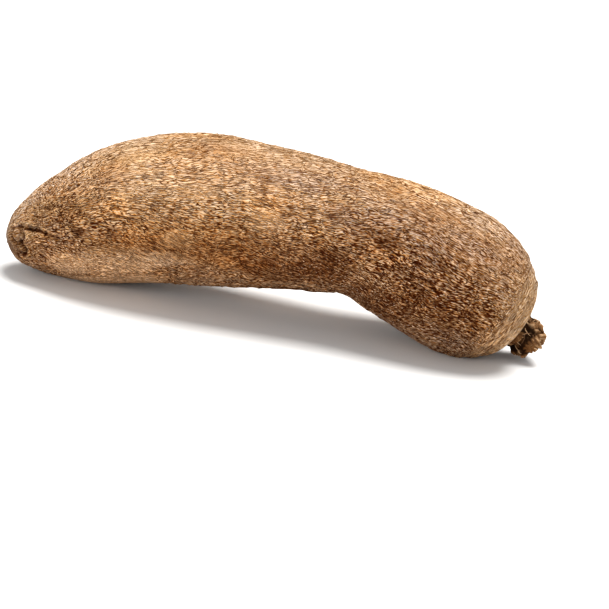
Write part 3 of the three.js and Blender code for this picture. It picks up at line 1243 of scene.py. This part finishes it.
@dataclass
class Skin:
    """The whole root: rings of vertices along the skin, closed by one vertex at each end.

    The finish reads places on a straightened root, about as thick all along as `even_radius`.
    """

    form: Form
    finish: SkinFinish
    bands: tuple[Band, ...] = (Band(38, 76, 216), Band(288, 148, 432), Band(328.2, 84, 216))
    even_radius: float = 30
    name: str = "cassava_skin"
    offset: Array = field(init=False)

    def ring_places(self) -> list[tuple[float, int]]:
        """Distance along the skin of each ring of vertices, and its number of sides.

        Returns:
            A (distance, number of sides) pair for each ring, from the tail.
        """
        rings, start = [], 0.0
        for band in self.bands:
            step = (band.end - start) / band.rings
            rings += [(start + step * k, band.sides) for k in range(1, band.rings + 1)]
            start = band.end
        return rings

    def build(self) -> bpy.types.Object:
        """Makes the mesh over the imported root, with the attributes that its finish reads.

        Returns:
            The piece.
        """
        rings = self.ring_places()
        skin = np.concatenate([np.full(sides, place) for place, sides in rings])[:, None]
        angle = np.concatenate([TURN * np.arange(sides) / sides for _, sides in rings])[:, None]
        relief = Relief(self.form, skin, angle)
        points = self.form.rest(self.form.plain_point(skin, angle, relief.height))
        ends = self.form.rest(self.form.plain_point(
            np.array([[0.0], [self.form.skin_length]]), np.zeros((1, 1)), np.zeros((2, 1))))
        points = np.vstack([points.reshape(-1, 3), ends.reshape(-1, 3)])
        self.offset = self.to_frame(points)
        counts = [sides for _, sides in rings]
        piece = add_piece(self.name, (points + self.offset) * MM, self.faces(counts))
        self.add_attributes(piece.data, relief)
        self.add_bake_map(piece.data, skin, angle)
        return piece

    def to_frame(self, points: Array) -> Array:
        """The shift that puts the middle of the form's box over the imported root's.

        Args:
            points: the vertices, in millimetres.

        Returns:
            The shift, which leaves heights as they are.
        """
        low, high = (Vector(corner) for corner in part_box("cassava_root"))
        middle = np.array((low + high) / 2) / MM
        shift = middle - (points.min(0) + points.max(0)) / 2
        shift[2] = 0
        return shift

    def faces(self, counts: Sequence[int]) -> list[list[int]]:
        """Faces between the rings, and a fan of three-sided ones at each end.

        Args:
            counts: how many vertices each ring has; neighbours have as many, twice or half.

        Returns:
            The faces, as rows of vertex numbers.
        """
        starts = np.concatenate([[0], np.cumsum(counts)]).tolist()
        tail, neck = starts[-1], starts[-1] + 1
        faces = [[tail, b, a] for a, b in self.steps(starts[0], counts[0])]
        for low, high, near, far in zip(starts, starts[1:], counts, counts[1:]):
            here, there = self.steps(low, near), self.steps(high, far)
            if near == far:
                faces += [[a, b, d, c] for (a, b), (c, d) in zip(here, there)]
            elif near < far:
                for k, (a, b) in enumerate(here):
                    (c, d), (_, e) = there[2 * k], there[2 * k + 1]
                    faces += [[a, d, c], [a, b, d], [b, e, d]]
            else:
                for k, (c, e) in enumerate(there):
                    (a, d), (_, b) = here[2 * k], here[2 * k + 1]
                    faces += [[a, d, c], [d, e, c], [d, b, e]]
        faces += [[neck, a, b] for a, b in self.steps(starts[-2], counts[-1])]
        return faces

    def steps(self, start: int, count: int) -> list[tuple[int, int]]:
        """Pairs of neighbouring vertex numbers round a ring."""
        return [(start + k, start + (k + 1) % count) for k in range(count)]

    def add_attributes(self, mesh: bpy.types.Mesh, relief: Relief) -> None:
        """Stores the straightened place and the masks at each vertex.

        Args:
            mesh: the mesh, whose last two vertices are its ends.
            relief: the relief at the rings' vertices.
        """
        skin, angle = relief.skin, relief.angle

        def store(name: str, kind: str, key: str, rows: Array, ends: Array) -> None:
            """Writes one attribute: the rings' values, then the two end vertices'."""
            layer = mesh.attributes.new(name, kind, "POINT")
            layer.data.foreach_set(key, np.vstack([rows, ends]).astype(np.float32).ravel())

        near, near_weight = self.form.leant(skin, angle, 0)
        far, far_weight = self.form.leant(skin, angle, 0.5)
        radius = np.maximum(self.form.radius_at(skin), self.form.thin)
        width = np.sqrt(radius * self.even_radius)
        ends = np.array([[0, 0, 0], [self.form.skin_length, 0, 0]])
        for name, turned in {"grain": angle, "grain_near": near, "grain_far": far}.items():
            grain = np.hstack([skin, width * np.cos(turned), width * np.sin(turned)])
            store(name, "FLOAT_VECTOR", "vector", grain, ends)
        even = np.hypot(near_weight, far_weight)
        masks = {"near": near_weight / even, "far": far_weight / even, "rise": np.cos(angle)}
        masks |= {name: getattr(relief, name)
                  for name in ("hollow", "neck", "collar", "chip", "lip")}
        masks |= {zone.name.lower(): relief.zone(zone) for zone in Zone}
        for name, mask in masks.items():
            store(name, "FLOAT", "value", mask, mask[[0, -1]])

    def add_bake_map(self, mesh: bpy.types.Mesh, skin: Array, angle: Array) -> None:
        """Unrolls the skin over the unit square: length across, the way round upwards.

        Args:
            mesh: the mesh, whose last two vertices are its ends.
            skin: how far along the skin the rings' vertices are.
            angle: their angles.
        """
        rows = np.append(skin, (0, self.form.skin_length))
        columns = np.append(angle / TURN, (0, 0))
        corner = np.empty(len(mesh.loops), np.int32)
        mesh.loops.foreach_get("vertex_index", corner)
        sizes = np.empty(len(mesh.polygons), np.int32)
        mesh.polygons.foreach_get("loop_total", sizes)
        face = np.repeat(np.arange(len(sizes)), sizes)
        across, round_ = rows[corner] / self.form.skin_length, columns[corner]
        at_end = corner >= len(skin)
        ring_most = np.zeros(len(sizes))
        np.maximum.at(ring_most, face, np.where(at_end, 0, round_))
        wraps = (ring_most[face] > 0.75) & (round_ < 0.25) & ~at_end
        round_ = np.where(wraps, round_ + 1, round_)
        ring_sum, ring_count = np.zeros(len(sizes)), np.zeros(len(sizes))
        np.add.at(ring_sum, face, np.where(at_end, 0, round_))
        np.add.at(ring_count, face, ~at_end)
        round_ = np.where(at_end, (ring_sum / np.maximum(ring_count, 1))[face], round_)
        layer = mesh.uv_layers.new(name="OFBake")
        layer.data.foreach_set("uv", np.stack([across, round_], -1).astype(np.float32).ravel())

    def dress(self, piece: bpy.types.Object) -> None:
        """Gives the piece its finish and its place in the frame.

        Args:
            piece: the piece that build gave.
        """
        piece.data.materials.append(self.finish.material("corky_skin"))
        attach(piece, "root")
        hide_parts("cassava_root")


@dataclass
class TornWood:
    """Short torn fibres that lie on the neck and stand out round its broken end."""

    form: Form
    finish: FibreFinish
    offset: Array
    count: int = 46
    steps: int = 6
    sides: int = 5
    start: Pair = (303.5, 323)
    length: Pair = (2.0, 5.5)
    lift: Pair = (0.3, 1.5)
    width: Pair = (0.16, 0.42)
    heading_spread: float = 0.55
    bend_spread: float = 0.35
    seed: int = 12
    name: str = "torn_wood"

    def paths(self) -> tuple[Array, Array, Array, Array, Array]:
        """Draws the fibres at random, always the same ones.

        Returns:
            Skin distance, angle and lift of each fibre's points, then each one's width and tone.
        """
        chance = random.Random(self.seed)
        share = np.linspace(0, 1, self.steps)
        skin, angle, lift, width, tone = [], [], [], [], []
        for _ in range(self.count):
            start = chance.uniform(*self.start)
            heading = chance.gauss(0, self.heading_spread)
            length = chance.uniform(*self.length)
            way = heading + chance.gauss(0, self.bend_spread) * share
            skin.append(start + length * np.cos(way) * share)
            radius = float(self.form.radius_at(np.array([start]))[0])
            angle.append(chance.uniform(0, TURN) + length * np.sin(way) * share / max(radius, 4))
            lift.append(chance.uniform(*self.lift) * share ** 2 + 0.05)
            width.append(chance.uniform(*self.width))
            tone.append(chance.random() ** 1.3)
        skin_rows = np.minimum(np.array(skin), self.form.skin_length - 1)
        return skin_rows, np.array(angle), np.array(lift), np.array(width), np.array(tone)

    def build(self) -> bpy.types.Object:
        """Makes the fibres as tapered tubes.

        Returns:
            The piece.
        """
        skin, angle, lift, width, tone = self.paths()
        rows, turns = skin.reshape(-1, 1), angle.reshape(-1, 1)
        height = Relief(self.form, rows, turns).height + lift.reshape(-1, 1)
        shape = (self.count, self.steps, 3)
        middle = self.form.plain_point(rows, turns, height).reshape(shape)
        above = self.form.plain_point(rows, turns, height + 1).reshape(shape)
        out = unit(above - middle)
        side = unit(np.cross(np.gradient(middle, axis=1), out))
        taper = width[:, None] * (1 - 0.8 * np.linspace(0, 1, self.steps) ** 2)
        turn = TURN * np.arange(self.sides) / self.sides
        around = (np.cos(turn)[:, None] * side[:, :, None]
                  + 0.6 * np.sin(turn)[:, None] * out[:, :, None])
        points = middle[:, :, None] + taper[:, :, None, None] * around
        points = self.form.rest(points.reshape(-1, 3)) + self.offset
        piece = add_piece(self.name, points * MM, self.faces())
        layer = piece.data.attributes.new("tone", "FLOAT", "POINT")
        tones = np.repeat(tone, self.steps * self.sides)
        layer.data.foreach_set("value", tones.astype(np.float32))
        return piece

    def faces(self) -> list[list[int]]:
        """The tubes' sides and ends.

        Returns:
            The faces, as rows of vertex numbers.
        """
        faces = []
        for fibre in range(self.count):
            start = fibre * self.steps * self.sides
            for step in range(self.steps - 1):
                low = start + step * self.sides
                high = low + self.sides
                for k in range(self.sides):
                    after = (k + 1) % self.sides
                    faces.append([low + k, low + after, high + after, high + k])
            last = start + (self.steps - 1) * self.sides
            faces.append([start + k for k in reversed(range(self.sides))])
            faces.append([last + k for k in range(self.sides)])
        return faces

    def dress(self, piece: bpy.types.Object) -> None:
        """Gives the piece its finish and its place in the frame.

        Args:
            piece: the piece that build gave.
        """
        piece.data.materials.append(self.finish.material("torn_fibres"))
        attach(piece, "root")


@dataclass
class Studio:
    """Plain pale floor, soft lights and the camera."""

    elevation: float = 18.0
    roll: float = 11.9
    lens: float = 100.0
    distance: float = 0.872
    aim: Triple = (0.0142, 0.0, 0.0074)
    floor_half: float = 6.0
    floor_gap: float = 0.05 * MM
    key_heading: Triple = (-0.08, -0.3, -1.0)
    key_degrees: float = 34.0
    key_power: float = 4.4
    key_tint: Triple = (1.0, 0.985, 0.96)
    fill_place: Triple = (-0.7, -1.2, 0.35)
    fill_aim: Triple = (0.0, 0.0, 0.04)
    fill_size: float = 0.7
    fill_power: float = 11.5
    fill_tint: Triple = (1.0, 0.99, 0.98)
    surround: float = 0.47

    def floor(self) -> bpy.types.Object:
        """A wide pale floor under the root.

        Returns:
            The floor.
        """
        h, z = self.floor_half, -self.floor_gap
        corners = np.array([(-h, -h, z), (h, -h, z), (h, h, z), (-h, h, z)])
        floor = add_piece("studio_floor", corners, [(0, 1, 2, 3)])
        floor.data.materials.append(PlainFinish().material("pale_floor"))
        return floor

    def camera(self) -> bpy.types.Object:
        """A long lens a little above the root, rolled so that the root slants.

        Returns:
            The camera.
        """
        e, r = math.radians(self.elevation), math.radians(self.roll)
        forward = Vector((0, math.cos(e), -math.sin(e)))
        right, up = Vector((1, 0, 0)), Vector((0, math.sin(e), math.cos(e)))
        rolled_right = math.cos(r) * right + math.sin(r) * up
        rolled_up = -math.sin(r) * right + math.cos(r) * up
        data = bpy.data.cameras.new("camera")
        data.lens = self.lens
        data.clip_end = 50
        camera = bpy.data.objects.new("camera", data)
        turn = Matrix((rolled_right, rolled_up, -forward)).transposed()
        camera.matrix_world = Matrix.LocRotScale(
            Vector(self.aim) - self.distance * forward, turn.to_quaternion(), None)
        bpy.context.scene.collection.objects.link(camera)
        bpy.context.scene.camera = camera
        return camera

    def light(self, name: str, kind: str, power: float, tint: Triple) -> bpy.types.Light:
        """Makes a light.

        Args:
            name: the light's name.
            kind: its type.
            power: its strength.
            tint: its colour.

        Returns:
            The light, not yet in the scene.
        """
        data = bpy.data.lights.new(name, kind)
        data.energy = power
        data.color = tint
        return data

    def hang(self, data: bpy.types.Light, place: Vector, aim: Vector) -> None:
        """Puts a light at a place and turns it towards another.

        Args:
            data: the light.
            place: where it hangs.
            aim: the point that it faces.
        """
        lamp = bpy.data.objects.new(data.name, data)
        lamp.location = place
        lamp.rotation_euler = (aim - place).to_track_quat("-Z", "Y").to_euler()
        bpy.context.scene.collection.objects.link(lamp)

    def lights(self) -> None:
        """A broad key from above, a weak fill from the front, and a bright surround."""
        key = self.light("key", "SUN", self.key_power, self.key_tint)
        key.angle = math.radians(self.key_degrees)
        self.hang(key, Vector((0, 0, 0)), Vector(self.key_heading))
        fill = self.light("fill", "AREA", self.fill_power, self.fill_tint)
        fill.size = self.fill_size
        self.hang(fill, Vector(self.fill_place), Vector(self.fill_aim))
        world = bpy.data.worlds.new("surround")
        world.use_nodes = True
        background = world.node_tree.nodes["Background"]
        background.inputs["Color"].default_value = (1, 1, 1, 1)
        background.inputs["Strength"].default_value = self.surround
        bpy.context.scene.world = world
        bpy.context.scene.view_settings.view_transform = "Standard"
        bpy.context.scene.view_settings.look = "Medium High Contrast"

    def build(self) -> None:
        """Sets the whole studio up."""
        self.camera()
        self.floor()
        self.lights()


def main() -> None:
    """Builds the studio and the root, and notes how many faces each piece has."""
    logging.basicConfig(level=logging.INFO, format="%(name)s: %(message)s")
    Studio().build()
    skin = Skin(Form(), SkinFinish())
    piece = skin.build()
    skin.dress(piece)
    LOG.info("%s: %d faces", piece.name, len(piece.data.polygons))
    fibres = TornWood(Form(), FibreFinish(), skin.offset)
    piece = fibres.build()
    fibres.dress(piece)
    LOG.info("%s: %d faces", piece.name, len(piece.data.polygons))


if __name__ == "__main__":
    main()
